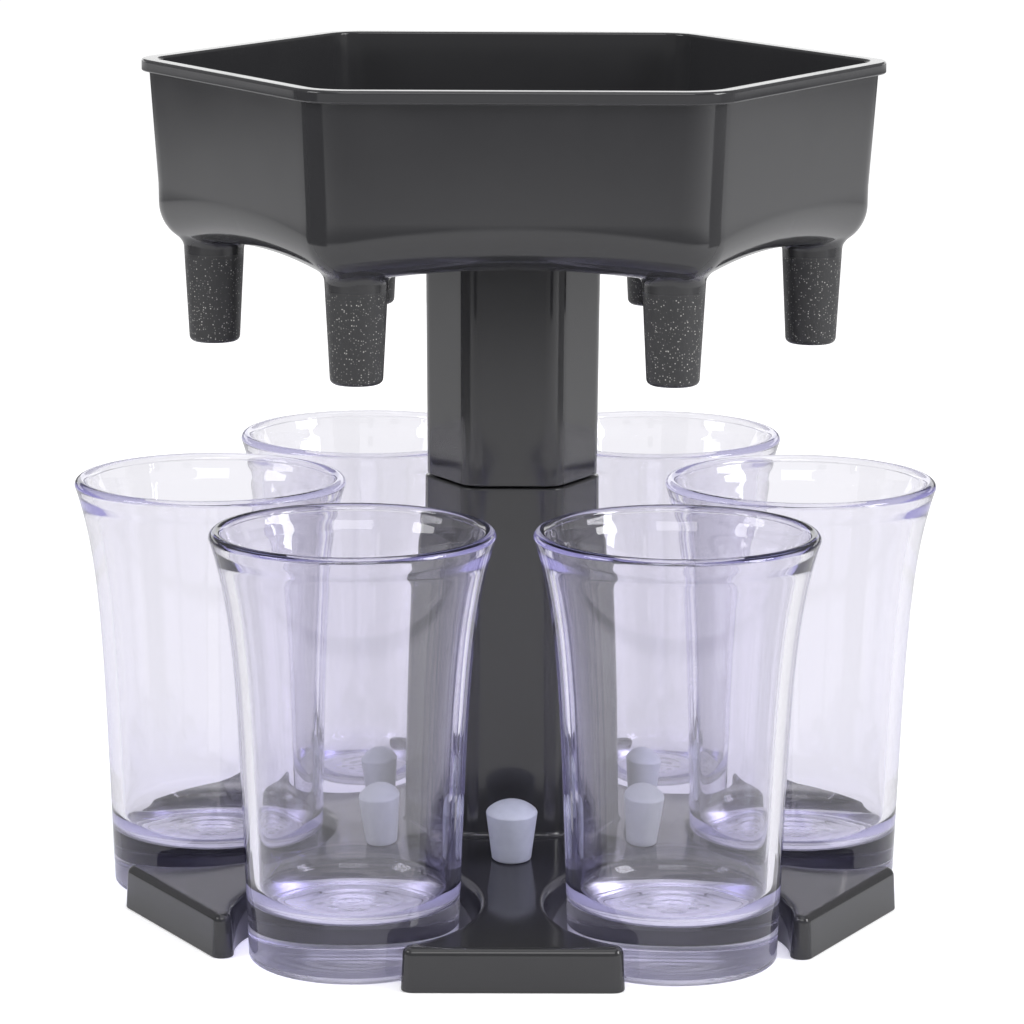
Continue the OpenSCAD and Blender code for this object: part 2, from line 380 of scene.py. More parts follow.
def reckon(tree: Tree, operation: str, first: Socket, second: Socket | float) -> Socket:
    """The result of one operation on two values."""
    return add_node(tree, "ShaderNodeMath", {"operation": operation}, {0: first, 1: second}).outputs[0]


def tone_between(tree: Tree, share: Socket, first: str, second: str) -> Socket:
    """A colour between two, by a share from 0 to 1."""
    return add_node(tree, "ShaderNodeMix", {"data_type": "RGBA"}, {
        "Factor": share, 6: linear(first), 7: linear(second)}).outputs[2]


def shader_between(tree: Tree, share: Socket, first: Socket, second: Socket) -> Socket:
    """A shader between two, by a share from 0 to 1."""
    return add_node(tree, "ShaderNodeMixShader", inputs={0: share, 1: first, 2: second}).outputs[0]


def principled(tree: Tree, **values: Any) -> Socket:
    """A Principled shader; an underscore in a value's name stands for a space."""
    inputs = {name.replace("_", " "): value for name, value in values.items()}
    return add_node(tree, "ShaderNodeBsdfPrincipled", inputs=inputs).outputs["BSDF"]


def new_material(name: str) -> tuple[bpy.types.Material, Tree, Socket]:
    """Makes an empty node material.

    Args:
        name: Name of the finish.

    Returns:
        The material, its node tree and the piece's own coordinates.
    """
    material = bpy.data.materials.new(name)
    material.use_nodes = True
    material.node_tree.nodes.clear()
    place = add_node(material.node_tree, "ShaderNodeTexCoord").outputs["Object"]
    return material, material.node_tree, place


@dataclass(frozen=True)
class PolishedAbs:
    """Charcoal ABS from a polished mould: an even gloss with the faint ripple of moulded walls."""

    name: str = "moulded_abs_polished_charcoal"
    colour: str = "#29292b"
    worn: str = "#2e2e30"
    ior: float = 1.54
    gloss: tuple[float, float] = (0.08, 0.14)
    ripple_mm: float = 5.0
    ripple_height_mm: float = 0.0025
    haze_mm: float = 14.0
    haze_ends: tuple[float, float] = (0.3, 0.7)

    def build(self) -> bpy.types.Material:
        """Makes the material.

        Returns:
            The material.
        """
        material, tree, place = new_material(self.name)
        haze = noise(tree, place, self.haze_mm, detail=4.0)
        ripple = noise(tree, place, self.ripple_mm, detail=1.0)
        shader = principled(
            tree, IOR=self.ior, Base_Color=tone_between(tree, haze, self.colour, self.worn),
            Roughness=ramp(tree, haze, self.haze_ends, self.gloss),
            Normal=relief(tree, ripple, self.ripple_height_mm))
        add_node(tree, "ShaderNodeOutputMaterial", inputs={"Surface": shader})
        return material


@dataclass(frozen=True)
class ErodedAbs:
    """The same ABS from a spark-eroded mould: matt, with painted glints: light dots in its colour where
    grains catch the light.

    The eroded texture and its painted glints end below the nozzle's root, where the mould was
    polished, and are drawn coarser than the real texture.
    """

    name: str = "moulded_abs_spark_eroded_charcoal"
    colour: str = "#2a2a2c"
    # Colour of the painted glints: light dots that stand in for grains catching the light.
    painted_glint_colour: str = "#bdbcb8"
    ior: float = 1.54
    polished_roughness: float = 0.26
    eroded_roughness: float = 0.46
    grain_mm: float = 0.4
    dot_ends: tuple[float, float] = (0.14, 0.34)
    glint_threshold: float = 0.36
    pit_mm: float = 0.28
    pit_depth_mm: float = 0.035
    polished_above_mm: float = 113.3
    blend_mm: tuple[float, float] = (-0.6, 0.4)

    def build(self) -> bpy.types.Material:
        """Makes the material: a painted glint dot in each cell, brighter in some cells, and pits between.

        Returns:
            The material.
        """
        material, tree, place = new_material(self.name)
        height = add_node(tree, "ShaderNodeSeparateXYZ", inputs={"Vector": place}).outputs["Z"]
        low, high = ((self.polished_above_mm + reach) * MM for reach in self.blend_mm)
        eroded = ramp(tree, height, (low, high), (1.0, 0.0))
        cells = add_node(tree, "ShaderNodeTexVoronoi", inputs={
            "Vector": place, "Scale": per_size(self.grain_mm)})
        dot = ramp(tree, cells.outputs["Distance"], self.dot_ends, (1.0, 0.0))
        draw = add_node(tree, "ShaderNodeSeparateColor", inputs={"Color": cells.outputs["Color"]})
        glint_cells = ramp(tree, draw.outputs["Red"], (self.glint_threshold, 1.0), (0.0, 1.0))
        # Painted glints: light dots mixed into the base colour where grains would catch the light, only on
        # the eroded part.
        painted_glint = reckon(tree, "MULTIPLY", reckon(tree, "MULTIPLY", dot, glint_cells), eroded)
        roughness = (self.polished_roughness, self.eroded_roughness)
        pits = noise(tree, place, self.pit_mm, detail=2.0)
        shader = principled(
            tree, IOR=self.ior, Base_Color=tone_between(tree, painted_glint, self.colour, self.painted_glint_colour),
            Roughness=ramp(tree, eroded, (0.0, 1.0), roughness),
            Normal=relief(tree, pits, self.pit_depth_mm, eroded))
        add_node(tree, "ShaderNodeOutputMaterial", inputs={"Surface": shader})
        return material


@dataclass(frozen=True)
class ClearPolystyrene:
    """Injection-moulded clear polystyrene: a violet cast where the light runs far in it.

    Its underside is frosted. Light that has been mirrored more often than `turns` goes straight
    on with a faint tint, and so does light from a lamp. That is a choice of look and no optics:
    without it the rims and the thick bases come out black.
    """

    name: str = "moulded_polystyrene_clear_violet"
    colour: str = "#f4f3f8"
    cast: str = "#b4aeec"
    density: float = 6.0
    straight_on: str = "#f1f0fa"
    turns: float = 1.5
    ior: float = 1.58
    roughness: float = 0.02
    frosted_roughness: float = 0.42
    frosted_below_mm: float = 0.8
    frost_blend_mm: float = 0.2
    ripple_mm: float = 9.0
    ripple_height_mm: float = 0.01

    def build(self) -> bpy.types.Material:
        """Makes the material.

        Returns:
            The material.
        """
        material, tree, place = new_material(self.name)
        ripple = noise(tree, place, self.ripple_mm, detail=1.0)
        height = add_node(tree, "ShaderNodeSeparateXYZ", inputs={"Vector": place}).outputs["Z"]
        frost = (self.frosted_below_mm * MM, (self.frosted_below_mm + self.frost_blend_mm) * MM)
        shader = principled(
            tree, IOR=self.ior, Base_Color=linear(self.colour), Transmission_Weight=1.0,
            Roughness=ramp(tree, height, frost, (self.frosted_roughness, self.roughness)),
            Normal=relief(tree, ripple, self.ripple_height_mm))
        cast = add_node(tree, "ShaderNodeVolumeAbsorption", inputs={
            "Color": linear(self.cast), "Density": self.density})
        path = add_node(tree, "ShaderNodeLightPath")
        mirrored_often = reckon(tree, "GREATER_THAN", path.outputs["Glossy Depth"], self.turns)
        through = add_node(tree, "ShaderNodeBsdfTransparent", inputs={
            "Color": linear(self.straight_on)}).outputs["BSDF"]
        seen = shader_between(tree, mirrored_often, shader, through)
        both = shader_between(tree, path.outputs["Is Shadow Ray"], seen, through)
        add_node(tree, "ShaderNodeOutputMaterial", inputs={
            "Surface": both, "Volume": cast.outputs["Volume"]})
        return material


@dataclass(frozen=True)
class MilkySilicone:
    """Moulded silicone rubber: milky, soft-edged light through it and a dull skin with dust."""

    name: str = "moulded_silicone_milky"
    colour: str = "#bcc0c6"
    dust: str = "#a9adb4"
    ior: float = 1.41
    roughness: float = 0.42
    mottle_mm: float = 1.6
    mottle_depth_mm: float = 0.02
    milky_share: float = 0.6
    clear_share: float = 0.15
    glow_mm: tuple[float, float, float] = (3.0, 3.0, 3.1)

    def build(self) -> bpy.types.Material:
        """Makes the material.

        Returns:
            The material.
        """
        material, tree, place = new_material(self.name)
        mottle = noise(tree, place, self.mottle_mm, detail=5.0)
        shader = principled(
            tree, IOR=self.ior, Base_Color=tone_between(tree, mottle, self.colour, self.dust),
            Roughness=self.roughness, Transmission_Weight=self.clear_share,
            Subsurface_Weight=self.milky_share, Subsurface_Radius=self.glow_mm, Subsurface_Scale=MM,
            Normal=relief(tree, mottle, self.mottle_depth_mm))
        add_node(tree, "ShaderNodeOutputMaterial", inputs={"Surface": shader})
        return material


# ---------------------------------------------------------------- the tray moulding


@dataclass(frozen=True)
class Skin:
    """One side of the bowl: its wall, the fillet at the wall's foot and the floor."""

    wall_a: float
    corner: float
    fillet: float
    floor_z: float


@dataclass(frozen=True)
class Tray:
    """The tray moulding: bowl, six nozzles under its corners and the upper column with its spigot.

    Names in _a are distances of flats from the axis, in _r radii, in _h heights and in _z levels
    over the table. The last fields count steps. lip_rounds runs from under the lip to its inner
    edge, and stem_rounds from the seam down the spigot and into its bore.
    """

    rim_a: float = 57.4
    lip_h: float = 2.1
    lip_out: float = 1.2
    lip_rounds: tuple[float, ...] = (0.2, 0.3, 0.5, 0.45)
    under_lip: float = 1.2
    inner_lean: float = 3.0
    height: float = 32.4
    wall: float = 1.8
    draft: float = math.radians(3.4)
    corner: float = 9.0
    fillet: float = 8.0
    arch_rise: float = 2.1
    wall_start: float = 0.6
    valley: float = 2.0
    nozzle_ring: float = 52.4
    nozzle_h: float = 17.2
    root_r: float = 5.3
    tip_r: float = 4.4
    tip_round: float = 1.0
    outlet_round: float = 0.35
    outlet_r: float = 3.0
    outlet_h: float = 9.0
    inlet_r: float = 4.0
    root_fillet: float = 1.2
    inlet_round: float = 1.2
    collar_h: float = 0.5
    joint_z: float = 74.45
    stem_top_a: float = 13.86
    stem_joint_a: float = 13.58
    stem_corner: float = 4.5
    stem_fillet: float = 1.6
    stem_rounds: tuple[float, ...] = (0.35, 0.15, 0.6, 0.3)
    spigot_a: float = 11.55
    spigot_corner: float = 2.3
    bore_tighter: float = 0.7
    spigot_wall: float = 1.8
    spigot_h: float = 14.0
    sink: float = 0.5
    flat: int = 14
    arc: int = 8
    side: int = 12
    middle: int = 8
    rows: int = 26
    segments: int = 72

    @property
    def rim_z(self) -> float:
        """Height of the rim, from the frame."""
        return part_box("tray_bowl")[1].z / MM

    @property
    def root_z(self) -> float:
        """Height of the bowl's underside at the nozzles."""
        return self.rim_z - self.height

    @property
    def wall_top_a(self) -> float:
        """Distance of the outer wall from the axis at the rim."""
        return self.rim_a - self.lip_out

    def skins(self) -> tuple[Skin, Skin]:
        """Gives the bowl's two skins, a wall apart; walls lean in towards the floor by the draft.

        Returns:
            The outer and the inner skin.
        """
        drop = self.height - self.fillet - self.arch_rise
        outer = Skin(self.wall_top_a - drop * math.tan(self.draft), self.corner, self.fillet, self.root_z)
        inner = Skin(outer.wall_a - self.wall, self.corner - self.wall, self.fillet - self.wall,
                     self.root_z + self.wall)
        return outer, inner

    def lift(self, plan: Array) -> Array:
        """Rise of the floor over the nozzles' roots.

        It is the arch's height times one less the square of a share: the distance along the
        side from its middle, over half the distance of two nozzles. Where two arches meet,
        |y| becomes the root of y squared and valley squared.

        Args:
            plan: Flat points in the sector round +X.

        Returns:
            The rise at each point.
        """
        y = np.sqrt(plan[..., 1] ** 2 + self.valley**2)
        along = plan[..., 0] * SIN_HALF - y * COS_HALF
        return self.arch_rise * (1 - (2 * along / self.nozzle_ring) ** 2)

    def floor_height(self, skin: Skin, plan: Array) -> Array:
        """Height of a skin's floor: flat, a quarter circle up to the wall, and the arch on top.

        What counts is the way in from the wall: along a flat's normal, or round a corner
        along the corner's radius.

        Args:
            skin: The skin.
            plan: Flat points in the sector round +X.

        Returns:
            The height at each point.
        """
        x, y = plan[..., 0], np.abs(plan[..., 1])
        out = x - (skin.wall_a - skin.corner) / COS_HALF
        way_in = np.where((out > 0) & (y < out * TAN_HALF), skin.corner - np.hypot(out, y),
                          skin.wall_a - x * COS_HALF - y * SIN_HALF)
        share = np.clip(1 - way_in / skin.fillet, 0, 1)
        return skin.floor_z + skin.fillet * (1 - np.sqrt(1 - share**2)) + self.lift(plan)

    def floor_patch(self, skin: Skin, hole_r: float, edge_round: float) -> tuple[Array, Array]:
        """One sector of a floor, as rays from a nozzle's axis out to the sector's edge.

        Near the hole the rays follow a quarter circle down into it: radius hole + R (1 - cos u),
        height lowered by R (1 - sin u). Beyond it they run to the wall, the rows closing up
        towards it as a sine does.

        Args:
            skin: The skin of which the floor is part.
            hole_r: Radius of the hole.
            edge_round: Radius between floor and hole.

        Returns:
            The patch, rows by rays by three, and the rays' directions.
        """
        outer = hex_sector(skin.wall_a, skin.corner, self.flat, self.arc)
        fall = skin.fillet * (1 - np.sin(np.linspace(math.pi / 2, 0, self.side + 1)))
        level = np.linspace(skin.fillet, skin.wall_a, self.middle + 1)[1:]
        share = 1 - np.concatenate([fall, level]) / skin.wall_a
        loop = np.concatenate([outer, outer[-1] * share[1:, None], outer[0] * share[-2:0:-1, None]])
        centre = np.array([self.nozzle_ring, 0.0])
        reach = np.linalg.norm(loop - centre, axis=-1)
        ray = (loop - centre) / reach[:, None]
        turns = np.linspace(0, math.pi / 2, ROUND_STEPS + 1)[:, None]
        near = hole_r + edge_round * (1 - np.cos(turns)) + 0 * reach
        start = hole_r + edge_round
        far = start + (reach - start) * np.sin(np.linspace(0, math.pi / 2, self.rows))[1:, None]
        radius = np.concatenate([near, far])
        drop = np.concatenate([edge_round * (1 - np.sin(turns)) + 0 * reach, 0 * far])
        plan = centre + ray * radius[..., None]
        return with_height(plan, self.floor_height(skin, plan) - drop), ray

    def bowl(self) -> bpy.types.Object:
        """Makes the bowl: floor patches round the six nozzles, walls and the rolled lip.

        Returns:
            The bowl.
        """
        outer, inner = self.skins()
        under, under_ray = self.floor_patch(outer, self.root_r, self.root_fillet)
        inside, inside_ray = self.floor_patch(inner, self.inlet_r, self.inlet_round)
        seat_z = self.root_z + self.collar_h
        centre = np.array([self.nozzle_ring, 0.0])
        collar = with_height(centre + under_ray * self.root_r, seat_z)[None]
        throat = with_height(centre + inside_ray * self.inlet_r, seat_z)[None]
        surface = Surface()
        surface.around(np.concatenate([under[::-1], collar, throat, inside]), closed_columns=True)

        tangent = math.tan(self.draft)
        foot_z = self.root_z + self.fillet + self.arch_rise + self.wall_start
        lip_z = self.rim_z - self.lip_h
        under_lip_z = lip_z - self.under_lip
        inner_top = self.wall_top_a - self.wall
        low_a, high_a = (self.wall_top_a - (self.rim_z - z) * tangent for z in (foot_z, under_lip_z))
        profile = rounded(
            [(low_a, foot_z), (high_a, under_lip_z), (self.wall_top_a - self.lip_h * tangent, lip_z),
             (self.rim_a, lip_z), (self.rim_a, self.rim_z), (inner_top, self.rim_z),
             (inner_top - self.inner_lean * tangent, self.rim_z - self.inner_lean),
             (low_a - self.wall, foot_z)],
            [0, 0, *self.lip_rounds, 0, 0])
        top = int(np.argmax(profile[:, 1] > self.rim_z - TINY))
        corner = np.where(np.arange(len(profile)) < top,
                          outer.corner + np.maximum(profile[:, 0] - self.wall_top_a, 0),
                          inner.corner + np.maximum(profile[:, 0] - inner_top, 0))
        rings = with_height(hex_sector(profile[:, 0], corner, self.flat, self.arc), profile[:, 1:])
        count = rings.shape[1]
        surface.around(np.concatenate([under[-1:, :count], rings, inside[-1:, :count]]))
        return surface.make("bowl")

    def nozzle(self, index: int) -> bpy.types.Object:
        """Makes a nozzle: a slightly tapered tube with a rounded tip and a widening bore.

        Args:
            index: Number of the nozzle, from 1.

        Returns:
            The nozzle.
        """
        tip_z, seat_z = self.root_z - self.nozzle_h, self.root_z + self.collar_h
        profile = rounded(
            [(self.inlet_r, seat_z), (self.root_r, seat_z), (self.root_r, self.root_z), (self.tip_r, tip_z),
             (self.outlet_r, tip_z), (self.outlet_r, tip_z + self.outlet_h), (self.inlet_r, seat_z)],
            [0, 0, 0, self.tip_round, self.outlet_round, 0, 0])
        turn = (index - 1) * STEP
        centre = (self.nozzle_ring * math.cos(turn), self.nozzle_ring * math.sin(turn))
        surface = Surface()
        surface.revolve(profile, self.segments, centre)
        return surface.make(f"nozzle_{index}")

    def stem(self) -> bpy.types.Object:
        """Makes the upper column: hexagonal, drafted, flared into the floor, with its spigot.

        Returns:
            The upper column.
        """
        ceiling_z = self.root_z + self.arch_rise
        top_z = ceiling_z + self.sink
        bore_a = self.spigot_a - self.spigot_wall
        spigot_z = self.joint_z - self.spigot_h
        flare_a = self.stem_top_a + self.stem_fillet
        loop = rounded(
            [(bore_a, top_z), (flare_a, top_z), (flare_a, ceiling_z), (self.stem_top_a, ceiling_z),
             (self.stem_joint_a, self.joint_z), (self.spigot_a, self.joint_z), (self.spigot_a, spigot_z),
             (bore_a, spigot_z), (bore_a, top_z)],
            [0, 0, 0, self.stem_fillet - SLACK, *self.stem_rounds, 0])[:-1]
        corner = np.interp(loop[:, 0], [bore_a, self.spigot_a, self.stem_joint_a],
                           [self.spigot_corner - self.bore_tighter, self.spigot_corner, self.stem_corner])
        surface = Surface()
        surface.hex_tube(loop, corner)
        return surface.make("stem")


# ---------------------------------------------------------------- the base moulding


@dataclass(frozen=True)
class Base:
    """The base moulding: lower column with its socket, and a foot of six arms between the cups.

    Names end as the tray's do. The hem is the small round at the table, and column_rounds are
    those of the column's top edge, outside and inside.
    """

    foot_a: float = 68.3
    inner_h: float = 11.7
    outer_h: float = 7.4
    cup_ring: float = 53.2
    notch_r: float = 20.6
    tip_r: float = 2.0
    wall: float = 2.2
    hollow_r: float = 0.6
    rib_w: float = 1.6
    rib_sink: float = 0.5
    edge_round: float = 1.3
    edge_draft: float = 0.3
    hem: tuple[tuple[float, float], ...] = ((0.25, 0.0), (0.07, 0.07), (0.0, 0.25))
    column_a: float = 14.05
    column_top_a: float = 13.89
    column_foot_a: float = 14.32
    column_corner: float = 4.5
    column_fillet: float = 1.0
    socket_a: float = 11.85
    socket_corner: float = 2.3
    socket_sunk: float = 1.0
    socket_margin: float = 0.6
    column_rounds: tuple[float, ...] = (0.35, 0.3)
    joint_z: float = 74.2
    sink: float = 0.7
    across: int = 14
    flank: int = 40
    tip: int = 12
    hub: int = 10

    def top_z(self, y: Array | float) -> Array:
        """Height of an arm's top: level at the column, then falling evenly to the arm's end."""
        fall = (self.inner_h - self.outer_h) / (self.foot_a - self.column_a)
        return self.inner_h - np.maximum(np.asarray(y) - self.column_a, 0) * fall

    def outline(self, end: float, notch: float, corner: float) -> Array:
        """Right half of an arm seen from above, along +Y, from between two arms out to its end.

        It follows the notch's circle until that circle touches the tip's, and then the tip's
        up to where it touches the end.

        Args:
            end: Distance of the arm's end.
            notch: Radius of the notches.
            corner: Radius of the tips.

        Returns:
            Flat points.
        """
        centre = self.cup_ring * np.array([SIN_HALF, COS_HALF])
        wrap = math.asin((end - corner - centre[1]) / (notch + corner))
        side = arc_points(centre, notch, np.linspace(math.pi + STEP, math.pi - wrap, self.flank + 1))
        middle = centre + (notch + corner) * np.array([-math.cos(wrap), math.sin(wrap)])
        end_round = arc_points(middle, corner, np.linspace(-wrap, math.pi / 2, self.tip + 1)[1:])
        return np.concatenate([side, end_round])

    def inset(self, depth: float) -> Array:
        """Outline of an arm drawn in by a depth."""
        return self.outline(self.foot_a - depth, self.notch_r + depth, self.tip_r - depth)

    def sheet(self, half: Array) -> Array:
        """Fills an arm's outline, and the hub in front of it, with rows straight across.

        A row's points are the outline's half width times shares from -1 to 1.

        Args:
            half: Right half of the outline.

        Returns:
            Flat points, rows by places across by two.
        """
        share = np.linspace(-1, 1, self.across + 1)
        hub_y = np.linspace(self.socket_a + self.socket_margin, half[0, 1], self.hub + 1)[:-1]
        width = np.concatenate([hub_y * TAN_HALF, half[:, 0]])
        depth = np.concatenate([hub_y, half[:, 1]])
        return np.stack([width[:, None] * share, depth[:, None] + 0 * share], axis=-1)

    def edge(self, half: Array) -> Array:
        """The edge of an arm's sheet, from its left root round the end to its right root."""
        sheet = self.sheet(half)[self.hub :]
        return np.concatenate([sheet[:, 0], sheet[-1, 1:-1], sheet[::-1, -1]])

    def foot(self) -> bpy.types.Object:
        """Makes the foot: a cored shell with rounded top edges, ribs under it and the socket's wall.

        Its flank runs up from the hem, whose points are a way in and a height, to a quarter
        circle at the top.

        Returns:
            The foot.
        """
        hollow = self.outline(self.foot_a - self.wall, self.notch_r + self.wall, self.hollow_r)
        rows = [with_height(self.edge(hollow), self.top_z(self.edge(hollow)[:, 1]) - self.wall),
                with_height(self.edge(hollow), 0.0)]
        for depth, height in self.hem:
            rows.append(with_height(self.edge(self.inset(depth)), height))
        for turn in np.linspace(0, math.pi / 2, ROUND_STEPS + 1):
            edge = self.edge(self.inset(self.edge_draft + self.edge_round * (1 - math.cos(turn))))
            rows.append(with_height(edge, self.top_z(edge[:, 1]) - self.edge_round * (1 - math.sin(turn))))
        top = self.sheet(self.inset(self.edge_draft + self.edge_round))
        below = self.sheet(hollow)
        top = with_height(top, self.top_z(top[..., 1]))
        below = with_height(below, self.top_z(below[..., 1]) - self.wall)
        surface = Surface()
        for grid in (np.stack(rows), top, below, np.stack([top[0], below[0]])):
            surface.around(grid)
        self.ribs(surface)
        wall_z = self.inner_h - self.socket_sunk
        loop = np.array([(self.socket_a, 0.0), (self.column_a, 0.0), (self.column_a, wall_z),
                         (self.socket_a, wall_z)])
        surface.hex_tube(loop, np.array([self.socket_corner, self.column_corner, self.column_corner,
                                         self.socket_corner]))
        return surface.make("foot")

    def ribs(self, surface: Surface) -> None:
        """Adds the ribs under the foot: along each arm, across it near its end and to each notch.

        Args:
            surface: The foot's surface.
        """
        centre_y = self.cup_ring * COS_HALF
        cross_y = centre_y + self.notch_r / 2 + self.rib_w / 2
        chord = math.sqrt(self.notch_r**2 - (cross_y - centre_y) ** 2)
        cross_x = self.cup_ring * SIN_HALF - chord - self.wall / 2
        start, end = self.column_a - self.rib_sink, self.foot_a - self.wall / 2
        reach = self.cup_ring - self.notch_r
        half, under = self.rib_w / 2, self.wall / 2
        high = [float(self.top_z(y)) - under for y in (start, end, cross_y, reach * COS_HALF)]
        for i in range(SIDES):
            turn = i * STEP
            surface.bar((0, start), (0, end), half, (high[0], high[1]), turn)
            surface.bar((-cross_x, cross_y), (cross_x, cross_y), half, (high[2], high[2]), turn)
            surface.bar((start, 0), (reach - under, 0), half, (high[0], high[3]), turn)

    def column(self) -> bpy.types.Object:
        """Makes the lower column: hexagonal, widening downwards, with a fillet at the foot.

        Returns:
            The lower column.
        """
        low_z = self.inner_h - self.sink
        flare_a = self.column_foot_a + self.column_fillet
        foot_z = float(self.top_z(flare_a))
        loop = rounded(
            [(self.socket_a, low_z), (flare_a, low_z), (flare_a, foot_z), (self.column_foot_a, foot_z),
             (self.column_top_a, self.joint_z), (self.socket_a, self.joint_z), (self.socket_a, low_z)],
            [0, 0, 0, self.column_fillet - SLACK, *self.column_rounds, 0])[:-1]
        corner = np.interp(loop[:, 0], [self.socket_a, self.column_top_a],
                           [self.socket_corner, self.column_corner])
        surface = Surface()
        surface.hex_tube(loop, corner)
        return surface.make("column")


# ---------------------------------------------------------------- cups and stoppers


@dataclass(frozen=True)
class Cup:
    """A clear flared cup with a thick base; its place comes from its CAD node."""

    foot_r: float = 17.7
    taper: float = 0.038
    flare: float = 3.9
    flare_power: float = 6.0
    height: float = 73.6
    wall: float = 2.3
    foot_round: float = 0.9
    base_h: float = 9.3
    floor_r: float = 4.5
    recess_h: float = 0.6
    stand_w: float = 3.0
    step_down: float = 3.6
    step_in: float = 0.3
    step_soft: float = 0.25
    ring_h: float = 0.11
    ring_w: float = 3.4
    segments: int = 112
    outer_rows: int = 60
    inner_rows: int = 64
    floor_rows: int = 26
    bead_steps: int = 14
    foot_steps: int = 5
    fillet_steps: int = 9

    def radius(self, height: Array) -> Array:
        """Outer radius at a height: a straight taper plus a flare that rises with a high power."""
        return self.foot_r + self.taper * height + self.flare * (height / self.height) ** self.flare_power

    def rings(self, radius: Array) -> Array:
        """Height of the flow rings round the gate: a cosine of the radius that dies away outwards."""
        fade = np.clip(1 - radius / (self.foot_r - self.stand_w - self.recess_h), 0, 1)
        return self.ring_h * fade * (1 - np.cos(math.tau * radius / self.ring_w))

    def profile(self) -> Array:
        """The cup's section, from the middle of the underside up outside and down inside.

        Foot, rim bead and the fillet inside are arcs of circles. The step inside the rim is a
        logistic curve of the height.

        Returns:
            Radius and height of each point.
        """
        bead = self.wall / 2
        top = self.height - bead
        low = self.foot_round
        outer_z = np.linspace(low, top, self.outer_rows)
        turns = np.linspace(0, math.pi, self.bead_steps + 1)[1:-1]
        bead_mid = float(self.radius(np.array(top))) - bead
        wall_z = self.base_h + self.floor_r
        inner_z = np.linspace(top, wall_z, self.inner_rows)
        step = self.step_in / (1 + np.exp((inner_z - (self.height - self.step_down)) / self.step_soft))
        inner_r = self.radius(inner_z) - self.wall + self.step_in - step
        stand_r = self.foot_r - self.stand_w
        recess = np.linspace(0, stand_r - self.recess_h, self.floor_rows)
        under = np.stack([recess, self.recess_h - self.rings(recess)], axis=1)
        foot_turns = np.linspace(-math.pi / 2, 0, self.foot_steps + 1)[:-1]
        foot_mid = float(self.radius(np.array(low))) - low
        floor_turns = np.linspace(0, math.pi / 2, self.fillet_steps + 1)[1:]
        floor_mid = float(inner_r[-1]) - self.floor_r
        centre = np.linspace(floor_mid, 0, self.floor_rows)[1:]
        return np.concatenate([
            under,
            np.array([(stand_r, 0.0)]),
            arc_points((foot_mid, low), low, foot_turns),
            np.stack([self.radius(outer_z), outer_z], axis=1),
            arc_points((bead_mid, top), bead, turns),
            np.stack([inner_r, inner_z], axis=1),
            arc_points((floor_mid, wall_z), self.floor_r, -floor_turns),
            np.stack([centre, self.base_h + self.rings(centre)], axis=1),
        ])

    def make(self, index: int) -> bpy.types.Object:
        """Makes a cup where its CAD node stands.

        Args:
            index: Number of the cup, from 1.

        Returns:
            The cup.
        """
        low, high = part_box(f"cup_{index}")
        centre = ((low.x + high.x) / 2 / MM, (low.y + high.y) / 2 / MM)
        surface = Surface()
        surface.revolve(self.profile(), self.segments, centre)
        return surface.make(f"cup_{index}_clear")


@dataclass(frozen=True)
class Stopper:
    """A small silicone plug, wider at the top, standing on its narrow end on an arm."""

    ring: float = 25.1
    height: float = 10.6
    foot_r: float = 3.4
    top_r: float = 4.5
    dome_h: float = 2.0
    gap: float = 0.1
    edge_round: float = 0.45
    foot_round: float = 0.4
    shoulder: tuple[float, float] = (0.55, 0.3)
    dome_rows: int = 12
    segments: int = 64

    def profile(self) -> Array:
        """The stopper's section: flat foot, straight flank, and a dome that is part of a sphere.

        The flank bends in towards the shoulder, a share of the top's radius and of the dome's
        height. The sphere's radius is (top radius squared + dome squared) / (2 dome).

        Returns:
            Radius and height of each point.
        """
        sphere = (self.top_r**2 + self.dome_h**2) / (2 * self.dome_h)
        flank = rounded(
            [(0, 0), (self.foot_r, 0), (self.top_r, self.height - self.dome_h),
             (self.top_r * self.shoulder[0], self.height - self.dome_h * self.shoulder[1])],
            [0, self.foot_round, self.edge_round, 0])[:-1]
        start = float(flank[-1, 0])
        radius = start * (1 - np.linspace(0, 1, self.dome_rows))
        cap = self.height - sphere + np.sqrt(sphere**2 - radius**2)
        return np.concatenate([flank[:-1], np.stack([radius, cap], axis=1)])

    def make(self, index: int, base: Base) -> bpy.types.Object:
        """Makes a stopper square to the sloping top of its arm.

        Args:
            index: Number of the stopper, from 1.
            base: The base on whose arm it stands.

        Returns:
            The stopper.
        """
        slope = math.atan((base.inner_h - base.outer_h) / (base.foot_a - base.column_a))
        surface = Surface()
        surface.revolve(self.profile(), self.segments)
        made = surface.make(f"stopper_{index}_silicone")
        lean = Matrix.Rotation(-slope, 4, "X")
        lift = Matrix.Translation((0, self.ring * MM, (float(base.top_z(self.ring)) + self.gap) * MM))
        turn = Matrix.Rotation(HALF + (index - 1) * STEP - math.pi / 2, 4, "Z")
        made.data.transform(turn @ lift @ lean)
        return made


# ---------------------------------------------------------------- studio


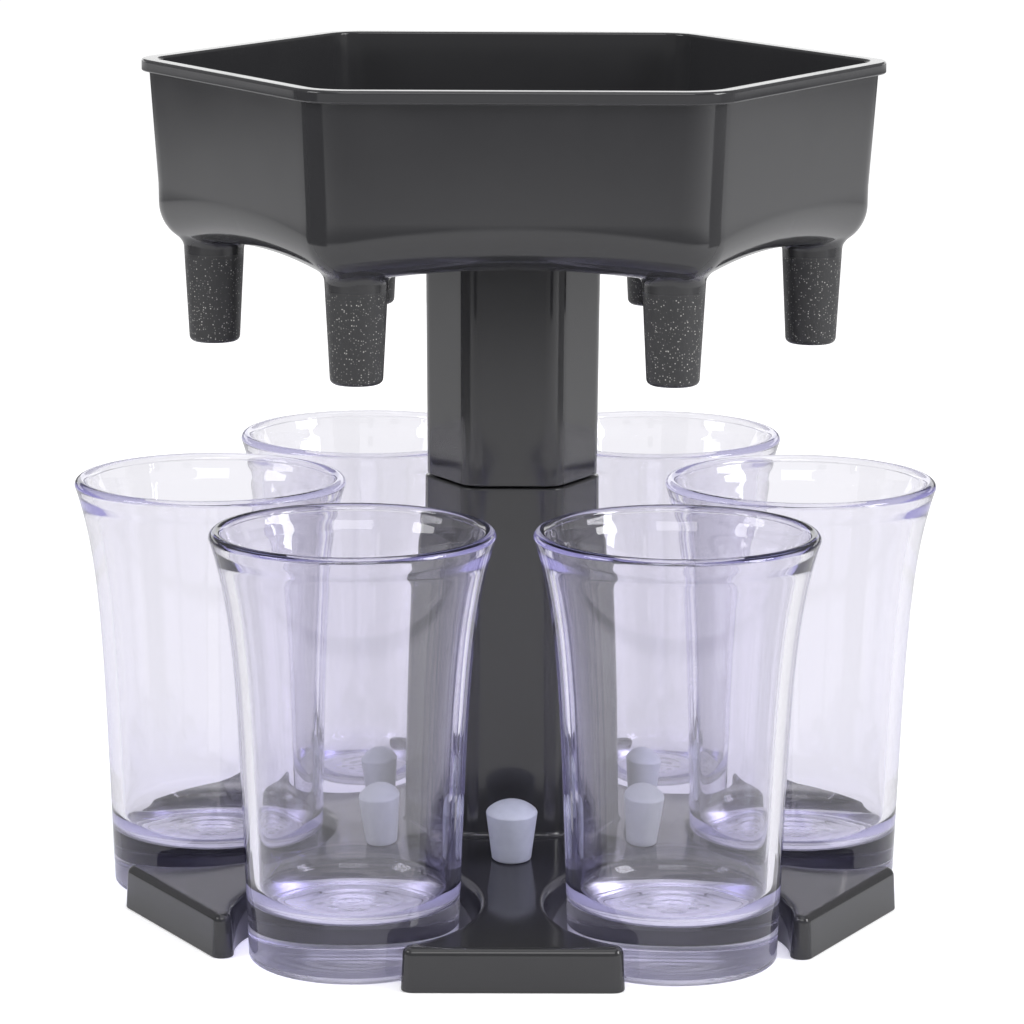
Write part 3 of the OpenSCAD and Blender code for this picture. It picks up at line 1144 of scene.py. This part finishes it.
@dataclass(frozen=True)
class Card:
    """An upright glowing card beside the set, which only reflections see, a painted reflection; it faces
    the object.

    It is bent to an arc round the object, between two heights; its azimuth is in degrees.
    """

    name: str
    azimuth: float
    distance_mm: float
    width_mm: float
    low_mm: float
    high_mm: float
    brightness: float
    steps: int = 8

    def make(self) -> None:
        """Makes the card."""
        half = self.width_mm / self.distance_mm / 2
        turns = math.radians(self.azimuth) + np.linspace(-half, half, self.steps + 1)
        ring = arc_points((0, 0), self.distance_mm, turns)
        surface = Surface()
        surface.grid(np.stack([with_height(ring, self.low_mm), with_height(ring, self.high_mm)]))
        made = surface.make(self.name)
        material, tree, _ = new_material(f"glowing_card_{self.name}")
        # An emission shader: the card glows, and only reflections see it.
        shade = add_node(tree, "ShaderNodeEmission", inputs={"Strength": self.brightness})
        add_node(tree, "ShaderNodeOutputMaterial", inputs={"Surface": shade.outputs[0]})
        made.data.materials.append(material)
        for rays in ("camera", "diffuse", "transmission", "shadow"):
            setattr(made, f"visible_{rays}", False)


@dataclass(frozen=True)
class Softbox:
    """A rectangular area light that faces a point at the object's middle."""

    name: str
    place_mm: tuple[float, float, float]
    size_mm: tuple[float, float]
    watts: float
    aim_mm: tuple[float, float, float] = (0.0, 0.0, 80.0)

    def make(self) -> None:
        """Makes the light, tilted from straight down by the slope of its way to the point."""
        data = bpy.data.lights.new(self.name, "AREA")
        data.shape, data.energy = "RECTANGLE", self.watts
        data.size, data.size_y = metres(self.size_mm)
        made = bpy.data.objects.new(self.name, data)
        made.location = metres(self.place_mm)
        away = np.array(self.place_mm) - np.array(self.aim_mm)
        around = math.atan2(away[0], -away[1])
        tilt = math.atan2(math.hypot(away[0], away[1]), away[2])
        made.rotation_euler = (tilt, 0, around)
        bpy.context.scene.collection.objects.link(made)


SOFTBOXES = (
    Softbox("softbox_left", place_mm=(-700, -260, 420), size_mm=(300, 420), watts=2.0),
    Softbox("softbox_right", place_mm=(700, -260, 420), size_mm=(300, 420), watts=3.6),
    Softbox("softbox_front", place_mm=(0, -750, 750), size_mm=(600, 400), watts=1.8),
    Softbox("softbox_top", place_mm=(0, -100, 900), size_mm=(700, 700), watts=1.5),
)
CARDS = (
    Card("left", azimuth=187, distance_mm=450, width_mm=440, low_mm=0, high_mm=260, brightness=0.1),
    Card("right", azimuth=352, distance_mm=450, width_mm=260, low_mm=0, high_mm=260, brightness=0.35),
    Card("back", azimuth=90, distance_mm=900, width_mm=1500, low_mm=170, high_mm=300, brightness=1.4),
)


@dataclass(frozen=True)
class Studio:
    """Plain pale floor, light tent, softboxes, cards for the reflections and the photograph's camera.

    The camera sees white all round. Reflections see a dimmer tent, and a floor that is darkest in
    a ring round the set, because the photograph's reflections are dark. Angles are in radians.
    """

    lens_mm: float = 150.8
    sensor_mm: float = 36.0
    clip_m: tuple[float, float] = (0.01, 50.0)
    pitch: float = 0.1967
    swing: float = -0.0078
    roll: float = 0.0048
    camera_mm: tuple[float, float, float] = (-5.82, -746.28, 216.07)
    tent: float = 0.8
    tent_mirrored: float = 0.25
    tent_seen: float = 1.0
    floor_colour: str = "#f4f4f5"
    floor_size_mm: float = 6000.0
    floor_z_mm: float = -0.05
    glow_mm: tuple[float, float] = (120.0, 520.0)
    floor_glow: tuple[float, float] = (0.2, 0.3)
    ring_middle_mm: tuple[float, float, float] = (60.0, 250.0, 0.0)
    ring_near_mm: tuple[float, float] = (720.0, 1010.0)
    ring_near_dark: tuple[float, float] = (0.2, 0.88)
    ring_far_mm: tuple[float, float] = (1250.0, 1500.0)
    ring_far_dark: tuple[float, float] = (1.0, 0.1)

    def camera(self) -> None:
        """Places the camera as it was fitted to the photograph."""
        data = bpy.data.cameras.new("camera")
        data.lens, data.sensor_width = self.lens_mm, self.sensor_mm
        data.clip_start, data.clip_end = self.clip_m
        made = bpy.data.objects.new("camera", data)
        made.location = metres(self.camera_mm)
        turns = ((0, 0, self.swing), (math.pi / 2 - self.pitch, 0, 0), (0, 0, self.roll))
        swing, pitch, roll = (Euler(turn).to_matrix() for turn in turns)
        made.rotation_euler = (swing @ pitch @ roll).to_euler()
        bpy.context.scene.collection.objects.link(made)
        bpy.context.scene.camera = made

    @staticmethod
    def white_seen(tree: Tree, path: bpy.types.Node) -> Socket:
        """Gives 1 for rays from the camera or through a clear wall, and else 0."""
        return reckon(tree, "MAXIMUM", path.outputs["Is Camera Ray"], path.outputs["Is Transmission Ray"])

    def world(self) -> None:
        """Makes the tent: white where it is seen, dim in reflections, an even light on the object."""
        world = bpy.data.worlds.new("tent")
        world.use_nodes = True
        tree = world.node_tree
        tree.nodes.clear()
        path = add_node(tree, "ShaderNodeLightPath")
        light, dim, seen = (
            add_node(tree, "ShaderNodeBackground", inputs={
                "Color": (1, 1, 1, 1), "Strength": strength}).outputs["Background"]
            for strength in (self.tent, self.tent_mirrored, self.tent_seen))
        mirrored = shader_between(tree, path.outputs["Is Glossy Ray"], light, dim)
        both = shader_between(tree, self.white_seen(tree, path), mirrored, seen)
        add_node(tree, "ShaderNodeOutputWorld", inputs={"Surface": both})
        bpy.context.scene.world = world

    def floor(self) -> None:
        """Makes the floor: pale, and seen as white where no shadow falls, by a glow of its own.

        The glow grows with the distance from the object. In reflections black takes up a share
        of the floor, which is the product of two ramps over the distance from the ring's middle.
        """
        axis = np.linspace(-self.floor_size_mm / 2, self.floor_size_mm / 2, 3)
        surface = Surface()
        surface.grid(with_height(np.stack(np.meshgrid(axis, axis), axis=-1), self.floor_z_mm))
        made = surface.make("floor")
        material, tree, place = new_material("matt_white_paper")
        path = add_node(tree, "ShaderNodeLightPath")
        paper = add_node(tree, "ShaderNodeBsdfDiffuse", inputs={"Color": linear(self.floor_colour)})
        apart = add_node(tree, "ShaderNodeVectorMath", {"operation": "LENGTH"}, {0: place})
        rise = ramp(tree, apart.outputs["Value"], metres(self.glow_mm), self.floor_glow)
        glow = add_node(tree, "ShaderNodeEmission", inputs={"Strength": rise})
        glint_cells = add_node(tree, "ShaderNodeAddShader", inputs={0: paper.outputs[0], 1: glow.outputs[0]})
        reach = add_node(tree, "ShaderNodeVectorMath", {"operation": "DISTANCE"}, {
            0: place, 1: metres(self.ring_middle_mm)}).outputs["Value"]
        near = ramp(tree, reach, metres(self.ring_near_mm), self.ring_near_dark, "SMOOTHSTEP")
        far = ramp(tree, reach, metres(self.ring_far_mm), self.ring_far_dark, "SMOOTHSTEP")
        dark = reckon(tree, "MULTIPLY", reckon(tree, "MULTIPLY", near, far), path.outputs["Is Glossy Ray"])
        black = add_node(tree, "ShaderNodeBsdfDiffuse", inputs={"Color": (0, 0, 0, 1)})
        both = shader_between(tree, self.white_seen(tree, path), paper.outputs[0], glint_cells.outputs[0])
        faded = shader_between(tree, dark, both, black.outputs[0])
        add_node(tree, "ShaderNodeOutputMaterial", inputs={"Surface": faded})
        made.data.materials.append(material)

    def make(self) -> None:
        """Makes everything round the object."""
        self.camera()
        self.world()
        self.floor()
        for thing in (*SOFTBOXES, *CARDS):
            thing.make()


def main() -> None:
    """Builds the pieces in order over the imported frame."""
    logging.basicConfig(level=logging.INFO, format="%(message)s")
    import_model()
    bpy.context.scene.view_settings.view_transform = "Standard"
    Studio().make()

    gloss, eroded = PolishedAbs().build(), ErodedAbs().build()
    clear, milky = ClearPolystyrene().build(), MilkySilicone().build()
    tray, base, cup, stopper = Tray(), Base(), Cup(), Stopper()
    dress(tray.bowl(), Body.TRAY, Slot.GLOSS, gloss, "tray_bowl")
    dress(tray.stem(), Body.TRAY, Slot.GLOSS, gloss, "tray_stem")
    dress(base.column(), Body.BASE, Slot.GLOSS, gloss, "base_column")
    dress(base.foot(), Body.BASE, Slot.GLOSS, gloss, "base_foot")
    for i in range(1, SIDES + 1):
        dress(tray.nozzle(i), Body.TRAY, Slot.TEXTURE, eroded, f"tray_nozzle_{i}")
        dress(cup.make(i), f"cup_{i}", Slot.CLEAR, clear, f"cup_{i}")
        dress(stopper.make(i, base), f"stopper_{i}", Slot.SILICONE, milky, f"stopper_{i}")


if __name__ == "__main__":
    main()
